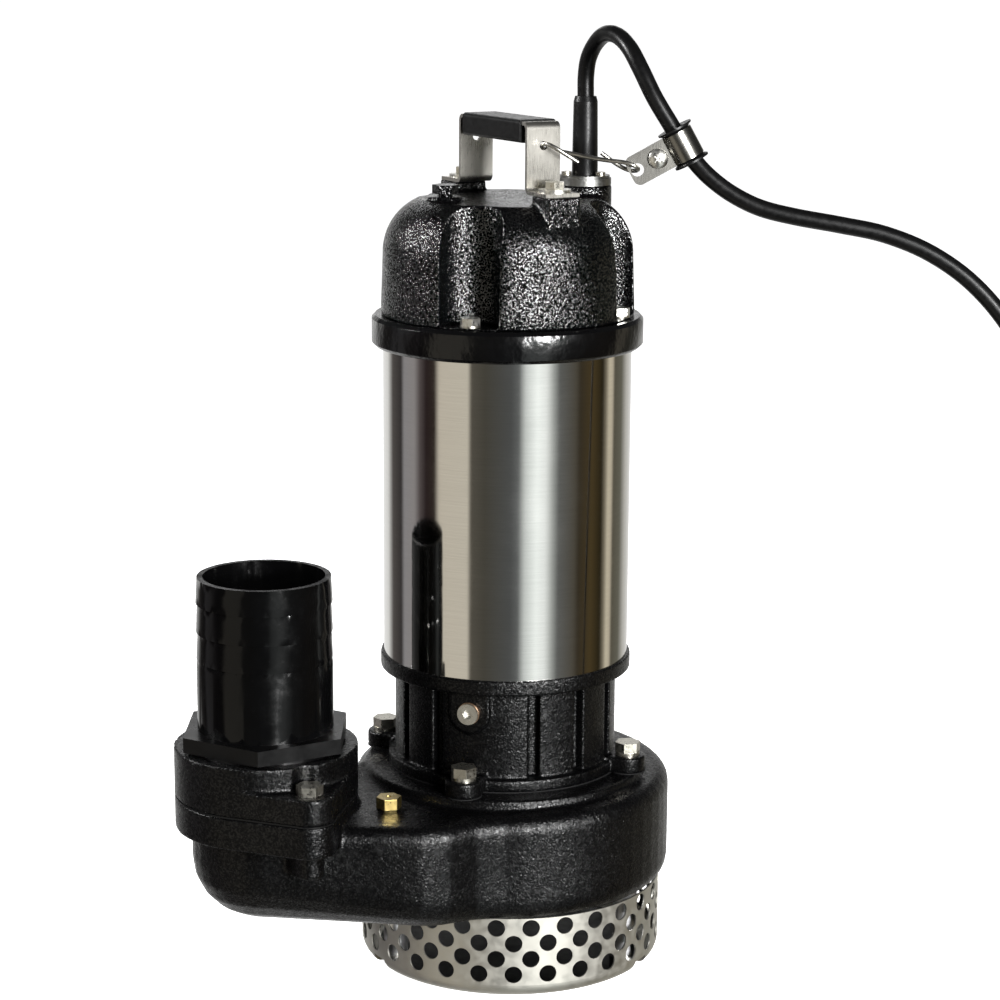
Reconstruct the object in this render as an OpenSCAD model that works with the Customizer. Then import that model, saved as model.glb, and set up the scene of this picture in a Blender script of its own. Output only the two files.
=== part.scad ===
// Submersible sump pump with strainer foot, vertical hose coupling and supply cable.
// Millimetres, +Z up. Origin: motor axis at the plane the strainer stands on.

/* [Motor] */
// Outside diameter of the stainless motor sleeve
sleeve_d = 142; // [142:0.5:143]
// Height of the sleeve's lower edge above the floor
sleeve_z = 182; // [181.6:0.1:182.2]
// Length of the sleeve
sleeve_len = 180; // [179.6:0.1:180.2]
// Outside diameter of the ring that closes the sleeve's top
ring_d = 154.8; // [153:0.2:158]
// Top of the gland and handle bosses on the motor cover
boss_top = 450.5; // [450:0.1:451]
// Turn of the motor cover's bolt pattern about the axis, from the front
cover_turn = -18; // [-20:1:-14]

/* [Casing] */
// Outer radius of the pump casing
casing_r = 96.6; // [96:0.1:98]
// Height of the casing's flat underside
casing_z = 48; // [47.9:0.1:48.1]
// Height of the machined pad that carries the bearing bracket
pad_z = 115.5; // [115.4:0.1:115.6]
// Position of the discharge axis across
discharge_x = -134; // [-136:1:-132]
// Position of the discharge axis in depth
discharge_y = -73; // [-74:1:-72]

/* [Discharge] */
// Outside diameter of the hose tail
tail_d = 76; // [74:0.5:77]
// Height of the hose tail's mouth
tail_top = 243; // [236:1:250]
// Distance across the coupling's hexagon flats
hex_af = 87; // [84:1:88]

/* [Strainer] */
// Outer radius of the strainer
strainer_r = 88.2; // [87:0.1:89]
// Diameter of the strainer's holes
strainer_hole_d = 10; // [6:0.5:10]
// Holes in each row
strainer_holes = 28; // [20:1:30]

/* [Handle] */
// Width of the handle strip
strip_w = 21; // [18:1:23]
// Top face of the handle strip
handle_top = 490; // [480:0.5:492]

/* [Cable] */
// Diameter of the supply cable
cable_d = 9.5; // [9:0.5:10]

/* [Hidden] */
$fn = 96;
EPS = 0.02;
sleeve_r = sleeve_d / 2;
sleeve_t = 1.5;
sleeve_top = sleeve_z + sleeve_len;
ring_top = 379.5;
boss_turn = 29;
bolt_r = 4;
small_bolt_r = 3;
shaft_r = 16;

// A point at radius r and angle a, with a measured from the front (-Y) towards +X
function polar(r, a) = [r * sin(a), -r * cos(a), 0];

module at_polar(r, a, z = 0) { translate(polar(r, a) + [0, 0, z]) rotate(a) children(); }
module ring(r_out, r_in, z0, z1) {
    translate([0, 0, z0]) difference() {
        cylinder(r = r_out, h = z1 - z0);
        translate([0, 0, -1]) cylinder(r = r_in, h = z1 - z0 + 2);
    }
}
module disc(r, z0, z1) { translate([0, 0, z0]) cylinder(r = r, h = z1 - z0); }
module turned(points) { rotate_extrude() polygon(points); }

// Hexagon-headed bolt pointing down, under-head face at z = 0
module hex_bolt(d, af, head, shank) {
    cylinder(r = af / sqrt(3), h = head, $fn = 6);
    translate([0, 0, -shank]) cylinder(d = d, h = shank + EPS);
}
module washer(r_out, r_in, t) { ring(r_out, r_in, 0, t); }

// ---------------------------------------------------------------- casing
// Wall radius and top height by angle from the front; the channel wall leaves the circle in front
elbow_r = 42.3;
cutwater_r = 88;
channel_y = discharge_y - elbow_r;
flat_r = 84.6;
bottom_round = casing_r - flat_r;
elbow_round = 34;
top_round = 9;
casing_wall = 7;
top_heights = [[0, 109.5], [90, 112.5], [180, 115], [270, 114]];
wall_radii = [[0, casing_r], [190, casing_r], [215, 93.5], [235, 89], [270, cutwater_r]];
main_steps = 44;
channel_steps = 9;
elbow_steps = 16;
// From the cutwater on the left round the back and right to the front
main_pts = [for (i = [0:main_steps]) let (a = 270 - 270 * i / main_steps, r = lookup(a, wall_radii))
    [r * sin(a), -r * cos(a), lookup(a, top_heights), r - flat_r]];
// The channel wall swells out to the discharge line in front of the circle
swell = 45;
channel_pts = [for (i = [1:channel_steps]) let (t = i / channel_steps, x = t * discharge_x,
    s = min(1, -x / swell), e = s * s * (3 - 2 * s))
    [x, -casing_r + (channel_y + casing_r) * e, 109.5, bottom_round + (elbow_round - bottom_round) * t]];
elbow_pts = [for (i = [1:elbow_steps]) let (a = 180 * i / elbow_steps)
    [discharge_x - elbow_r * sin(a), discharge_y - elbow_r * cos(a), 109.5, elbow_round]];
back_pts = [for (t = [0.33, 0.66]) let (x = discharge_x + t * (-cutwater_r - discharge_x))
    [x, discharge_y + elbow_r + t * (-6 - discharge_y - elbow_r), 110.5, elbow_round * (1 - t)]];
outline = concat(main_pts, channel_pts, elbow_pts, back_pts);
outline_n = len(outline);
function outward(i) = let (a = outline[(i + outline_n - 1) % outline_n], b = outline[(i + 1) % outline_n],
    d = [b[0] - a[0], b[1] - a[1]]) [-d[1], d[0]] / norm(d);
// One level of the shell: inset and height each come from a quarter arc at the bottom or the top
function shell_ring(inset, z0, dz_top, t, top) = [for (i = [0:outline_n - 1])
    let (p = outline[i], n = outward(i), r = max(1, (top ? top_round : p[3]) - inset),
        k = inset + r * (1 - (top ? cos(t) : sin(t))),
        z = top ? p[2] - dz_top - r * (1 - sin(t)) : z0 + r * (1 - cos(t)))
    [p[0] - n[0] * k, p[1] - n[1] * k, z]];
arc_steps = 5;
// Point from which the floor and the roof fan out to the whole outline
hub_xy = [-40, -60];
module shell_solid(inset, z0, dz_top) {
    levels = concat([for (j = [0:arc_steps]) shell_ring(inset, z0, dz_top, 90 * j / arc_steps, false)],
        [for (j = [0:arc_steps]) shell_ring(inset, z0, dz_top, 90 * j / arc_steps, true)]);
    m = len(levels);
    low = [hub_xy[0], hub_xy[1], z0];
    high = [hub_xy[0], hub_xy[1], 110 - dz_top];
    polyhedron(concat([low, high], [for (l = levels) each l]),
        concat([for (i = [0:outline_n - 1]) [0, 2 + (i + 1) % outline_n, 2 + i]],
            [for (i = [0:outline_n - 1]) [1, 2 + (m - 1) * outline_n + i,
                2 + (m - 1) * outline_n + (i + 1) % outline_n]],
            [for (j = [0:m - 2], i = [0:outline_n - 1]) let (a = 2 + j * outline_n, k = (i + 1) % outline_n)
                each [[a + i, a + k, a + outline_n + k], [a + i, a + outline_n + k, a + outline_n + i]]]));
}

// Two-bolt flange outline, ears along the boss direction
ear_d = 57.5;
ear_r = 14;
flange_r = 51.5;
side_inset = 0.4;
module two_bolt(h, middle_h) {
    phi = acos((flange_r - ear_r) / ear_d);
    x0 = (flange_r - side_inset) * cos(phi);
    y0 = (flange_r - side_inset) * sin(phi);
    x1 = ear_d + (ear_r - side_inset) * cos(phi);
    y1 = (ear_r - side_inset) * sin(phi);
    rotate(boss_turn - 90) union() {
        cylinder(r = flange_r, h = middle_h);
        for (turn = [0, 180]) rotate(turn) translate([ear_d, 0, 0]) cylinder(r = ear_r, h = h);
        linear_extrude(h) polygon([[-x1, -y1], [-x0, -y0], [x0, -y0], [x1, -y1],
            [x1, y1], [x0, y0], [-x0, y0], [-x1, y1]]);
    }
}
module at_discharge(z = 0) { translate([discharge_x, discharge_y, z]) children(); }
module at_ears(z = 0) {
    at_discharge(z) for (a = [boss_turn, boss_turn + 180]) translate(polar(ear_d, a)) children();
}
joint_z = 118;
gasket_t = 0.8;
flange_low = 99.5;
ear_boss_z = 86;
ear_top = 133.5;
boss_flange_top = 146.7;
discharge_bore = 36;

// Bolts that hold the bearing bracket, and the foot screws of the strainer
bracket_pcd_r = 75;
module at_bracket_bolts(z = 0) {
    for (k = [0:3]) at_polar(bracket_pcd_r, cover_turn + 90 * k, z) children();
}
strainer_x = 3.7;
foot_r = 77;
foot_angles = [60, 180, 300];
module at_feet(z = 0) {
    translate([strainer_x, 0, 0]) for (a = foot_angles) at_polar(foot_r, a, z) children();
}
vent_pos = [-65, -79];
vent_seat = 110.6;

module volute_casing() {
    color([0.06, 0.06, 0.06]) difference() {
        union() {
            shell_solid(0, casing_z, 0);
            disc(82, pad_z - 10, pad_z);
            at_discharge(flange_low) two_bolt(joint_z - flange_low, joint_z - flange_low);
            at_ears(ear_boss_z) cylinder(r = 8, h = flange_low - ear_boss_z + 1);
            at_discharge(ear_boss_z) for (a = [boss_turn, boss_turn + 180]) at_polar(ear_d, a)
                translate([-8.2, 0, 0]) cube([16.4, 18, flange_low - ear_boss_z + 1]);
            translate([vent_pos[0], vent_pos[1], vent_seat - 6]) cylinder(r = 9, h = 6);
        }
        difference() {
            shell_solid(casing_wall, casing_z + casing_wall, 8);
            at_feet(casing_z) cylinder(r = 9, h = 14);
        }
        disc(62, casing_z - 1, casing_z + casing_wall + 1);
        disc(60, 98, pad_z + 1);
        at_discharge(80) cylinder(r = discharge_bore, h = joint_z - 79);
        at_bracket_bolts(pad_z - 8) cylinder(r = bolt_r, h = 9);
        at_ears(ear_boss_z + 8) cylinder(r = bolt_r, h = joint_z - ear_boss_z);
        at_feet(casing_z - 1) cylinder(r = 2.5, h = 11);
        at_cover_ears(casing_z - 1) cylinder(r = 2.5, h = 7.5);
        translate([vent_pos[0], vent_pos[1], vent_seat - 20]) cylinder(r = 4, h = 21);
    }
}

// ---------------------------------------------------------------- suction side
eye_r = 30;
ear_t = 3.5;
module at_cover_ears(z) { for (k = [0:2]) at_polar(66, 120 * k, z) children(); }
module suction_cover() {
    color([0.09, 0.09, 0.09]) difference() {
        union() {
            disc(61.9, casing_z - ear_t, casing_z + 8);
            turned([[eye_r, casing_z - 10], [eye_r + 5, casing_z - 10], [eye_r + 8, casing_z + EPS],
                [eye_r, casing_z + EPS]]);
            at_cover_ears(casing_z - ear_t) cylinder(r = 8, h = ear_t);
        }
        disc(eye_r, casing_z - 12, casing_z + 9);
        at_cover_ears(casing_z - ear_t - 1) cylinder(r = 2.6, h = 10);
    }
}
module suction_screws() {
    color([0.75, 0.75, 0.72]) at_cover_ears(casing_z - ear_t) rotate([180, 0, 0]) hex_bolt(5, 8, 3.5, 9.5);
}
strainer_t = 1.2;
strainer_round = 8;
row_z = [14.5, 23.75, 33, 42.25];
dent_at = 80;
dent_r = 10;
dent_h = 7;
// Rounded cup of the strainer: outside with inset 0, inside with inset strainer_t
module cup(inset) {
    r = strainer_r - inset;
    round_r = strainer_round - inset;
    rotate_extrude() {
        translate([0, inset]) square([r - round_r, casing_z - inset]);
        translate([0, inset + round_r]) square([r, casing_z - inset - round_r]);
        intersection() {
            translate([r - round_r, inset + round_r]) circle(round_r);
            square([200, 200]);
        }
    }
}
module dents(grow) {
    for (a = foot_angles) at_polar(dent_at, a, -1) cylinder(r = dent_r + grow, h = dent_h + 1 + grow);
}
module strainer() {
    half = 180 / strainer_holes;
    color([0.62, 0.6, 0.56]) translate([strainer_x, 0, 0]) difference() {
        cup(0);
        difference() {
            union() {
                cup(strainer_t);
                disc(strainer_r - strainer_t, casing_z - 1, casing_z + 1);
            }
            dents(strainer_t);
        }
        dents(0);
        for (k = [0:3], i = [0:strainer_holes - 1])
            rotate(1.2 + half * (k % 2) + 360 * i / strainer_holes) translate([0, -strainer_r + 5, row_z[k]])
                rotate([90, 0, 0]) cylinder(d = strainer_hole_d, h = 8, $fn = 32);
        for (a = foot_angles) at_polar(foot_r, a, dent_h - 1) cylinder(r = 2.8, h = 4);
    }
}
module strainer_posts() {
    color([0.75, 0.75, 0.76]) at_feet() ring(7, 2.6, dent_h + strainer_t, casing_z);
}
module strainer_screws() {
    color([0.75, 0.75, 0.72]) at_feet(dent_h) difference() {
        union() {
            cylinder(r = 2.5, h = casing_z - dent_h + 8);
            translate([0, 0, -3.4]) cylinder(r = 4.8, h = 3.4);
        }
        for (a = [0, 90]) rotate(a) translate([-3, -0.5, -4]) cube([6, 1, 2]);
    }
}

// ---------------------------------------------------------------- hydraulics
impeller_r = 58;
module impeller() {
    vanes = 6;
    vane_z = 57;
    vane_t = 3.5;
    vane_r = 44.1;
    vane_offset = 29.6;
    color([0.12, 0.12, 0.12]) difference() {
        union() {
            disc(impeller_r, 78, 82);
            turned([[7, 66], [14, 66], [17, 72], [20, 78.2], [7, 78.2]]);
            disc(16, 81.8, 96);
            for (k = [0:vanes - 1]) rotate(360 * k / vanes) difference() {
                translate([-vane_offset, 0, vane_z]) cylinder(r = vane_r + vane_t / 2, h = 78.2 - vane_z);
                translate([-vane_offset, 0, vane_z - 1]) cylinder(r = vane_r - vane_t / 2, h = 80 - vane_z);
                translate([-90, -90, vane_z - 1]) cube([180, 90, 80 - vane_z]);
                ring(90, impeller_r - 0.5, vane_z - 2, 80);
                disc(21, vane_z - 2, 80);
            }
        }
        disc(8, 60, 97);
        translate([0, -1.5, 60]) cube([9.6, 3, 37]);
    }
}
module shaft() {
    color([0.72, 0.72, 0.74]) difference() {
        union() {
            disc(8, 50, 96);
            disc(10, 96 - EPS, 150);
            disc(12.5, 150 - EPS, 183);
            disc(shaft_r, 183 - EPS, 352);
            disc(13, 352 - EPS, 383);
            disc(10, 383 - EPS, 398);
        }
        translate([5.6, -1.5, 70]) cube([5, 3, 18]);
    }
}
module shaft_key() { color([0.6, 0.6, 0.6]) translate([5.6, -1.5, 70]) cube([4, 3, 18]); }
module impeller_nut() {
    color([0.78, 0.78, 0.76]) difference() {
        union() {
            translate([0, 0, 54]) cylinder(r = 12, h = 9, $fn = 6);
            disc(12.5, 63 - EPS, 66);
        }
        disc(8, 50, 67);
    }
}
// ---------------------------------------------------------------- bearing bracket and oil chamber
column_r = 64.5;
groove_r = 58.5;
ribs = 14;
groove_w = 6.5;
groove_turn = -36.6 - 360 / 14 * 5;
lip_z = 173.5;
lip_r = 72.8;
chamber_r = 50;
plug_turn = -18;
plug_z = 161;
module bearing_bracket() {
    color([0.06, 0.06, 0.06]) difference() {
        union() {
            disc(68.2, pad_z + 0.5, 122.5);
            disc(59.9, pad_z - 6, pad_z + 1);
            disc(column_r, 122, lip_z + 1);
            disc(lip_r, lip_z, sleeve_z);
            disc(sleeve_r - sleeve_t - 0.05, sleeve_z - 1, 196);
            at_bracket_bolts(pad_z + 0.5) {
                cylinder(r = 10.5, h = 9);
                translate([-10.2, 0, 0]) cube([20.4, 22, 9]);
            }
            rotate(plug_turn) difference() {
                translate([0, 0, plug_z]) rotate([90, 0, 0]) cylinder(r = 12, h = column_r + 1.5);
                translate([-20, -30, plug_z - 20]) cube([40, 60, 40]);
            }
            rotate(plug_turn) translate([-11.7, -column_r - 1.3, plug_z])
                cube([23.4, 30, lip_z - plug_z + 1]);
        }
        for (k = [0:ribs - 1]) let (a = groove_turn + k * 360 / ribs) if (abs(a - plug_turn) > 12)
            at_polar(column_r + 1, a) translate([-groove_w / 2, 0, 122.6])
                cube([groove_w, column_r + 1 - groove_r, lip_z - 0.6 - 122.6]);
        disc(chamber_r, pad_z + 4, 158);
        disc(17, 105, 121);
        disc(17.5, 157, 164);
        disc(26, 163.5, 166);
        disc(31, 166, 184);
        disc(62, 184 - EPS, 197);
        at_bracket_bolts(pad_z - 1) cylinder(r = bolt_r + 0.5, h = 14);
        rotate(plug_turn) translate([0, -44, plug_z - 5]) rotate([90, 0, 0]) cylinder(r = 3, h = 12);
        rotate(plug_turn) translate([0, -50, plug_z]) rotate([90, 0, 0]) cylinder(r = bolt_r, h = 20);
    }
}
module spring_washers() {
    color([0.75, 0.75, 0.75]) {
        at_bracket_bolts(bracket_bolt_z) washer(7, bolt_r, 2);
        at_cover_bolts(cover_floor) washer(5.5, small_bolt_r, 1.2);
    }
}
module oil_plug() {
    color([0.75, 0.75, 0.72]) rotate(plug_turn) translate([0, -column_r - 1.5, plug_z]) rotate([90, 0, 0])
        difference() {
            union() {
                translate([0, 0, 1.2]) cylinder(r = 6, h = 2);
                translate([0, 0, -8]) cylinder(r = 4, h = 10);
            }
            translate([0, 0, 0.4]) cylinder(r = 2.9, h = 4, $fn = 6);
        }
}
module oil_plug_washer() {
    color([0.7, 0.45, 0.25]) rotate(plug_turn) translate([0, -column_r - 1.5, plug_z]) rotate([90, 0, 0])
        ring(6.3, 4, 0, 1.2);
}
module casing_gasket() {
    color([0.25, 0.2, 0.15]) difference() {
        union() {
            disc(68.2, pad_z, pad_z + 0.5);
            at_bracket_bolts(pad_z) cylinder(r = 10.5, h = 0.5);
        }
        disc(60.2, pad_z - 1, pad_z + 2);
        at_bracket_bolts(pad_z - 1) cylinder(r = bolt_r + 0.5, h = 3);
    }
}
bracket_bolt_z = pad_z + 9.5;
module bracket_bolts() {
    color([0.75, 0.73, 0.66]) at_bracket_bolts(bracket_bolt_z + 2) hex_bolt(2 * bolt_r, 13, 5.5, 19);
}
// ---------------------------------------------------------------- shaft seals
module seal_seat() { color([0.85, 0.85, 0.82]) ring(17, 10.6, 109.5, 118); }
module seal_face() { color([0.15, 0.15, 0.16]) ring(15, 10, 118.05, 122); }
spring_steps = 30;
spring_rise = 9.8;
spring_route = [for (i = [0:spring_steps])
    [13 * cos(30 * i), 13 * sin(30 * i), 123.2 + spring_rise * i / spring_steps]];
module seal_spring() { color([0.7, 0.7, 0.7]) tube(spring_route, 1.1, 6, [0, 0, 1]); }
module seal_collar() { color([0.7, 0.7, 0.7]) ring(15, 10, 134.2, 139); }
module lip_seal() { color([0.06, 0.06, 0.06]) ring(17.5, 12.55, 157.2, 163.4); }

// ---------------------------------------------------------------- bearings
ball_gap = 0.05;
// Each bearing: bore radius, outer radius, lower face, width, ball circle radius, ball radius
lower_size = [12.5, 31, 166, 17, 21.75, 5];
upper_size = [10, 23.5, 383, 14, 16.75, 3.9];
module ball_track(b) {
    translate([0, 0, b[2] + b[3] / 2]) rotate_extrude() translate([b[4], 0])
        circle(b[5] + ball_gap, $fn = 48);
}
module bearing_outer(b) {
    color([0.8, 0.8, 0.82]) difference() {
        ring(b[1], (b[1] + b[4]) / 2 - 0.4, b[2], b[2] + b[3]);
        ball_track(b);
    }
}
module bearing_inner(b) {
    color([0.8, 0.8, 0.82]) difference() {
        ring((b[0] + b[4]) / 2 + 0.4, b[0], b[2], b[2] + b[3]);
        ball_track(b);
    }
}
// Balls joined by their cage
module bearing_balls(b, n) {
    z = b[2] + b[3] / 2;
    color([0.7, 0.6, 0.35]) union() {
        for (k = [0:n - 1]) rotate(360 * k / n) translate([b[4], 0, z]) sphere(b[5]);
        ring(b[4] + 1.3, b[4] - 1.3, z - 1.5, z + 1.5);
    }
}
module lower_bearing_outer() { bearing_outer(lower_size); }
module lower_bearing_inner() { bearing_inner(lower_size); }
module lower_bearing_balls() { bearing_balls(lower_size, 8); }
module upper_bearing_outer() { bearing_outer(upper_size); }
module upper_bearing_inner() { bearing_inner(upper_size); }
module upper_bearing_balls() { bearing_balls(upper_size, 8); }
module wave_washer() { color([0.7, 0.7, 0.7]) ring(22.5, 18, 382, 383); }

// ---------------------------------------------------------------- motor
stack_z0 = 222;
stack_z1 = 322;
bore_r = 42;
slots = 24;
module motor_sleeve() { color([0.7, 0.69, 0.66]) ring(sleeve_r, sleeve_r - sleeve_t, sleeve_z, sleeve_top); }
module stator_core() {
    color([0.35, 0.35, 0.37]) difference() {
        ring(sleeve_r - sleeve_t - 0.05, bore_r, stack_z0, stack_z1);
        for (k = [0:slots - 1]) rotate(360 * k / slots) translate([44, -2.6, stack_z0 - 1])
            cube([13, 5.2, stack_z1 - stack_z0 + 2]);
    }
}
// Coils in the slots, joined by the overhang rings at both ends
module overhang(z0, z1) {
    r = 5.5;
    translate([0, 0, (z0 + z1) / 2]) rotate_extrude() translate([53.5, 0]) union() {
        square([2 * r, z1 - z0 - 2 * r], center = true);
        for (s = [-1, 1]) translate([0, s * ((z1 - z0) / 2 - r)]) circle(r, $fn = 32);
    }
}
module stator_winding() {
    color([0.6, 0.33, 0.16]) union() {
        overhang(stack_z1 + 0.5, stack_z1 + 28);
        overhang(stack_z0 - 26, stack_z0 - 0.5);
        for (k = [0:slots - 1]) rotate(360 * k / slots) translate([49, -2.3, stack_z0 - 6])
            cube([7.7, 4.6, stack_z1 - stack_z0 + 12]);
    }
}
module rotor_core() { color([0.4, 0.4, 0.42]) ring(bore_r - 0.4, shaft_r, stack_z0, stack_z1); }
module rotor_end_rings() {
    color([0.75, 0.75, 0.76]) {
        ring(40, 27, stack_z1, stack_z1 + 12);
        ring(40, 27, stack_z0 - 12, stack_z0);
    }
}

cover_bolt_r = 66.2;
module at_cover_bolts(z = 0) {
    for (k = [0:3]) at_polar(cover_bolt_r, cover_turn + 90 * k, z) children();
}
ring_edge = 2;
module upper_bracket() {
    color([0.05, 0.05, 0.05]) difference() {
        union() {
            turned([[60, sleeve_top - 9], [sleeve_r - sleeve_t - 0.05, sleeve_top - 9],
                [sleeve_r - sleeve_t - 0.05, sleeve_top], [ring_d / 2 - ring_edge, sleeve_top],
                [ring_d / 2, sleeve_top + ring_edge], [ring_d / 2, ring_top - ring_edge],
                [ring_d / 2 - ring_edge, ring_top], [60, ring_top]]);
            disc(61, 372, ring_top);
            disc(28.5, 372, 398);
        }
        disc(15, 360, 383);
        disc(23.5, 382, 399);
        for (k = [0:3]) at_polar(44, cover_turn + 45 + 90 * k, 370) cylinder(r = 7, h = 12);
        at_cover_bolts(ring_top - 13) cylinder(r = small_bolt_r, h = 14);
    }
}

// ---------------------------------------------------------------- motor cover
dome_r = 72;
crown_r = 38;
crown_z = 414.5;
crown_round = 33;
crown_top = 445;
pocket_r = 17.5;
cover_wall = 6;
cover_floor = 380.5;
gland_r = 50;
plug_boss_r = 40;
module dome_profile(grow) {
    difference() {
        union() {
            polygon([[0, ring_top], [dome_r + grow, ring_top], [dome_r + grow, 384 + 2],
                [crown_r + crown_round + grow, crown_z], [0, crown_z]]);
            translate([crown_r, crown_z]) circle(crown_round + grow);
            translate([0, ring_top]) square([crown_r, crown_z + crown_round + grow - ring_top]);
        }
        translate([-100, 0]) square([100, 600]);
        translate([-1, crown_top + grow]) square([100, 100]);
    }
}
module handle_boss(a) { at_polar(54, a, 420) translate([-10, -10, 0]) cube([20, 20, boss_top - 420]); }
module motor_cover() {
    color([0.06, 0.06, 0.06]) difference() {
        union() {
            rotate_extrude() dome_profile(0);
            for (a = [boss_turn, boss_turn + 180]) handle_boss(a);
            at_polar(gland_r, boss_turn + 90, 400) cylinder(r = 15.5, h = boss_top - 400);
            at_polar(plug_boss_r, boss_turn - 90, 430) cylinder(r = 10, h = boss_top - 430 - 3);
        }
        at_cover_bolts(cover_floor) cylinder(r = pocket_r, h = 90);
        difference() {
            translate([0, 0, -EPS]) rotate_extrude() difference() {
                dome_profile(-cover_wall);
                translate([-1, 300]) square([100, ring_top - 300 - 1]);
            }
            at_cover_bolts(300) cylinder(r = pocket_r + cover_wall, h = 160);
        }
        at_cover_bolts(ring_top - 1) cylinder(r = small_bolt_r + 0.4, h = 10);
        for (a = [boss_turn, boss_turn + 180]) at_polar(52, a, boss_top - 16) cylinder(r = small_bolt_r, h = 17);
        at_polar(gland_r, boss_turn + 90, 420) cylinder(r = 9, h = 40);
        at_polar(plug_boss_r, boss_turn - 90, 430) cylinder(r = 4, h = 30);
        at_gland_screws(boss_top - 8) cylinder(r = 1.5, h = 9);
    }
}
module cover_bolts() {
    color([0.75, 0.75, 0.74]) at_cover_bolts(cover_floor + 1.2) hex_bolt(2 * small_bolt_r, 10, 4, 13);
}
module cover_plug() {
    color([0.7, 0.7, 0.68]) at_polar(plug_boss_r, boss_turn - 90, boss_top - 3) {
        translate([0, 0, 1.5]) hex_bolt(2 * bolt_r, 13, 5, 13);
    }
}
// ---------------------------------------------------------------- handle
strip_t = 2;
leg_r = 37.5;
foot_end = 61;
bend = 4;
hole_leg_z = 477;
module strip_corner(x, z, turn) {
    translate([x, z]) rotate(turn) difference() {
        circle(bend, $fn = 48);
        circle(bend - strip_t, $fn = 48);
        translate([-10, -20]) square([10, 40]);
        translate([-10, -20]) square([40, 20]);
    }
}
// Strip seen edge-on: feet outwards, legs, rounded corners and the top
module strip_profile() {
    top = handle_top;
    foot = boss_top;
    for (turn = [0, 1]) mirror([turn, 0]) union() {
        translate([leg_r + bend - EPS, foot]) square([foot_end - leg_r - bend, strip_t]);
        translate([leg_r, foot + bend - EPS]) square([strip_t, top - foot - 2 * bend + 2 * EPS]);
        translate([-EPS, top - strip_t]) square([leg_r + strip_t - bend + 2 * EPS, strip_t]);
        strip_corner(leg_r + strip_t - bend, top - bend, 0);
        strip_corner(leg_r + bend, foot + bend, 180);
    }
}
module handle_strip() {
    color([0.68, 0.66, 0.62]) rotate(boss_turn - 90) difference() {
        rotate([90, 0, 0]) translate([0, 0, -strip_w / 2]) linear_extrude(strip_w) strip_profile();
        for (s = [-1, 1]) translate([s * 52, 0, boss_top - 1]) cylinder(r = small_bolt_r + 0.3, h = 5);
        translate([-leg_r - 4, 0, hole_leg_z]) rotate([0, 90, 0]) cylinder(r = 2.5, h = 2 * leg_r + 8);
    }
}
module handle_grip() {
    grip_len = 66;
    color([0.05, 0.05, 0.05]) rotate(boss_turn - 90) difference() {
        translate([-grip_len / 2, 0, handle_top - 5.4]) rotate([90, 0, 90]) linear_extrude(grip_len) {
            square([strip_w - 2.4, 2 * 6.4], center = true);
            square([strip_w + 2.4, 2 * 4], center = true);
            for (y = [-1, 1], z = [-4, 4]) translate([y * (strip_w / 2 - 1.2), z]) circle(2.4, $fn = 32);
        }
        translate([-50, -strip_w / 2 - 0.05, handle_top - strip_t - 0.05])
            cube([100, strip_w + 0.1, strip_t + 0.1]);
    }
}
module handle_bolts() {
    color([0.75, 0.74, 0.7]) for (a = [boss_turn, boss_turn + 180])
        at_polar(52, a, boss_top + strip_t + 1.8) hex_bolt(2 * small_bolt_r, 10, 4, 16);
}
module handle_washers() {
    color([0.75, 0.75, 0.75]) for (a = [boss_turn, boss_turn + 180])
        at_polar(52, a, boss_top + strip_t) washer(9, small_bolt_r, 1.8);
}

// ---------------------------------------------------------------- cable entry
module at_gland(z = 0) { at_polar(gland_r, boss_turn + 90, z) children(); }
// The three screws stand clear of the boot, by angle from the front
gland_screw_pcd = 11.2;
module at_gland_screws(z = 0) {
    translate(polar(gland_r, boss_turn + 90)) for (a = [-70, 50, 170]) at_polar(gland_screw_pcd, a, z) children();
}
plate_t = 4;
module gland_plate() {
    color([0.3, 0.3, 0.3]) difference() {
        at_gland(boss_top) union() {
            cylinder(r = 15.2, h = plate_t);
            translate([0, 0, plate_t - EPS]) cylinder(r = 14.3, h = 1.5);
        }
        at_gland(boss_top - 1) cylinder(r = 7.4, h = 12);
        at_gland_screws(boss_top - 1) cylinder(r = 1.7, h = 12);
    }
}
module gland_screws() {
    color([0.72, 0.71, 0.68]) at_gland_screws(boss_top + plate_t + 1.5 - EPS) difference() {
        union() {
            cylinder(r = 2.9, h = 2.2);
            translate([0, 0, -12]) cylinder(r = 1.5, h = 13);
        }
        for (a = [0, 90]) rotate(a) translate([-1.6, -0.35, 1]) cube([3.2, 0.7, 3]);
    }
}
boot_top = 500.5;
boot_r0 = 7.4;
boot_r1 = 6.9;
module cable_boot() {
    color([0.05, 0.05, 0.05]) at_gland() turned([[0, 428], [cable_d / 2, 428], [cable_d / 2, 436],
        [8.9, 436], [8.9, boss_top], [boot_r0, boss_top], [boot_r0, boss_top + 12],
        [boot_r1, boot_top - 3], [boot_r1 - 0.8, boot_top], [0, boot_top]]);
}

// ---------------------------------------------------------------- air vent
module air_vent_body() {
    color([0.75, 0.6, 0.2]) translate([vent_pos[0], vent_pos[1], 0]) difference() {
        union() {
            translate([0, 0, vent_seat]) rotate(12) cylinder(r = 7.3, h = 6.5, $fn = 6);
            disc(4, 96, vent_seat + 1);
        }
        disc(3, 98, 105);
        disc(1.4, 95, 118);
    }
}
// The ball rests on the edge of the small bore below it
vent_ball_r = 2.5;
vent_ball_z = 98.05 + sqrt(vent_ball_r * vent_ball_r - 1.4 * 1.4);
module air_vent_ball() {
    color([0.8, 0.8, 0.8]) translate([vent_pos[0], vent_pos[1], vent_ball_z]) sphere(vent_ball_r, $fn = 32);
}

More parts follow.
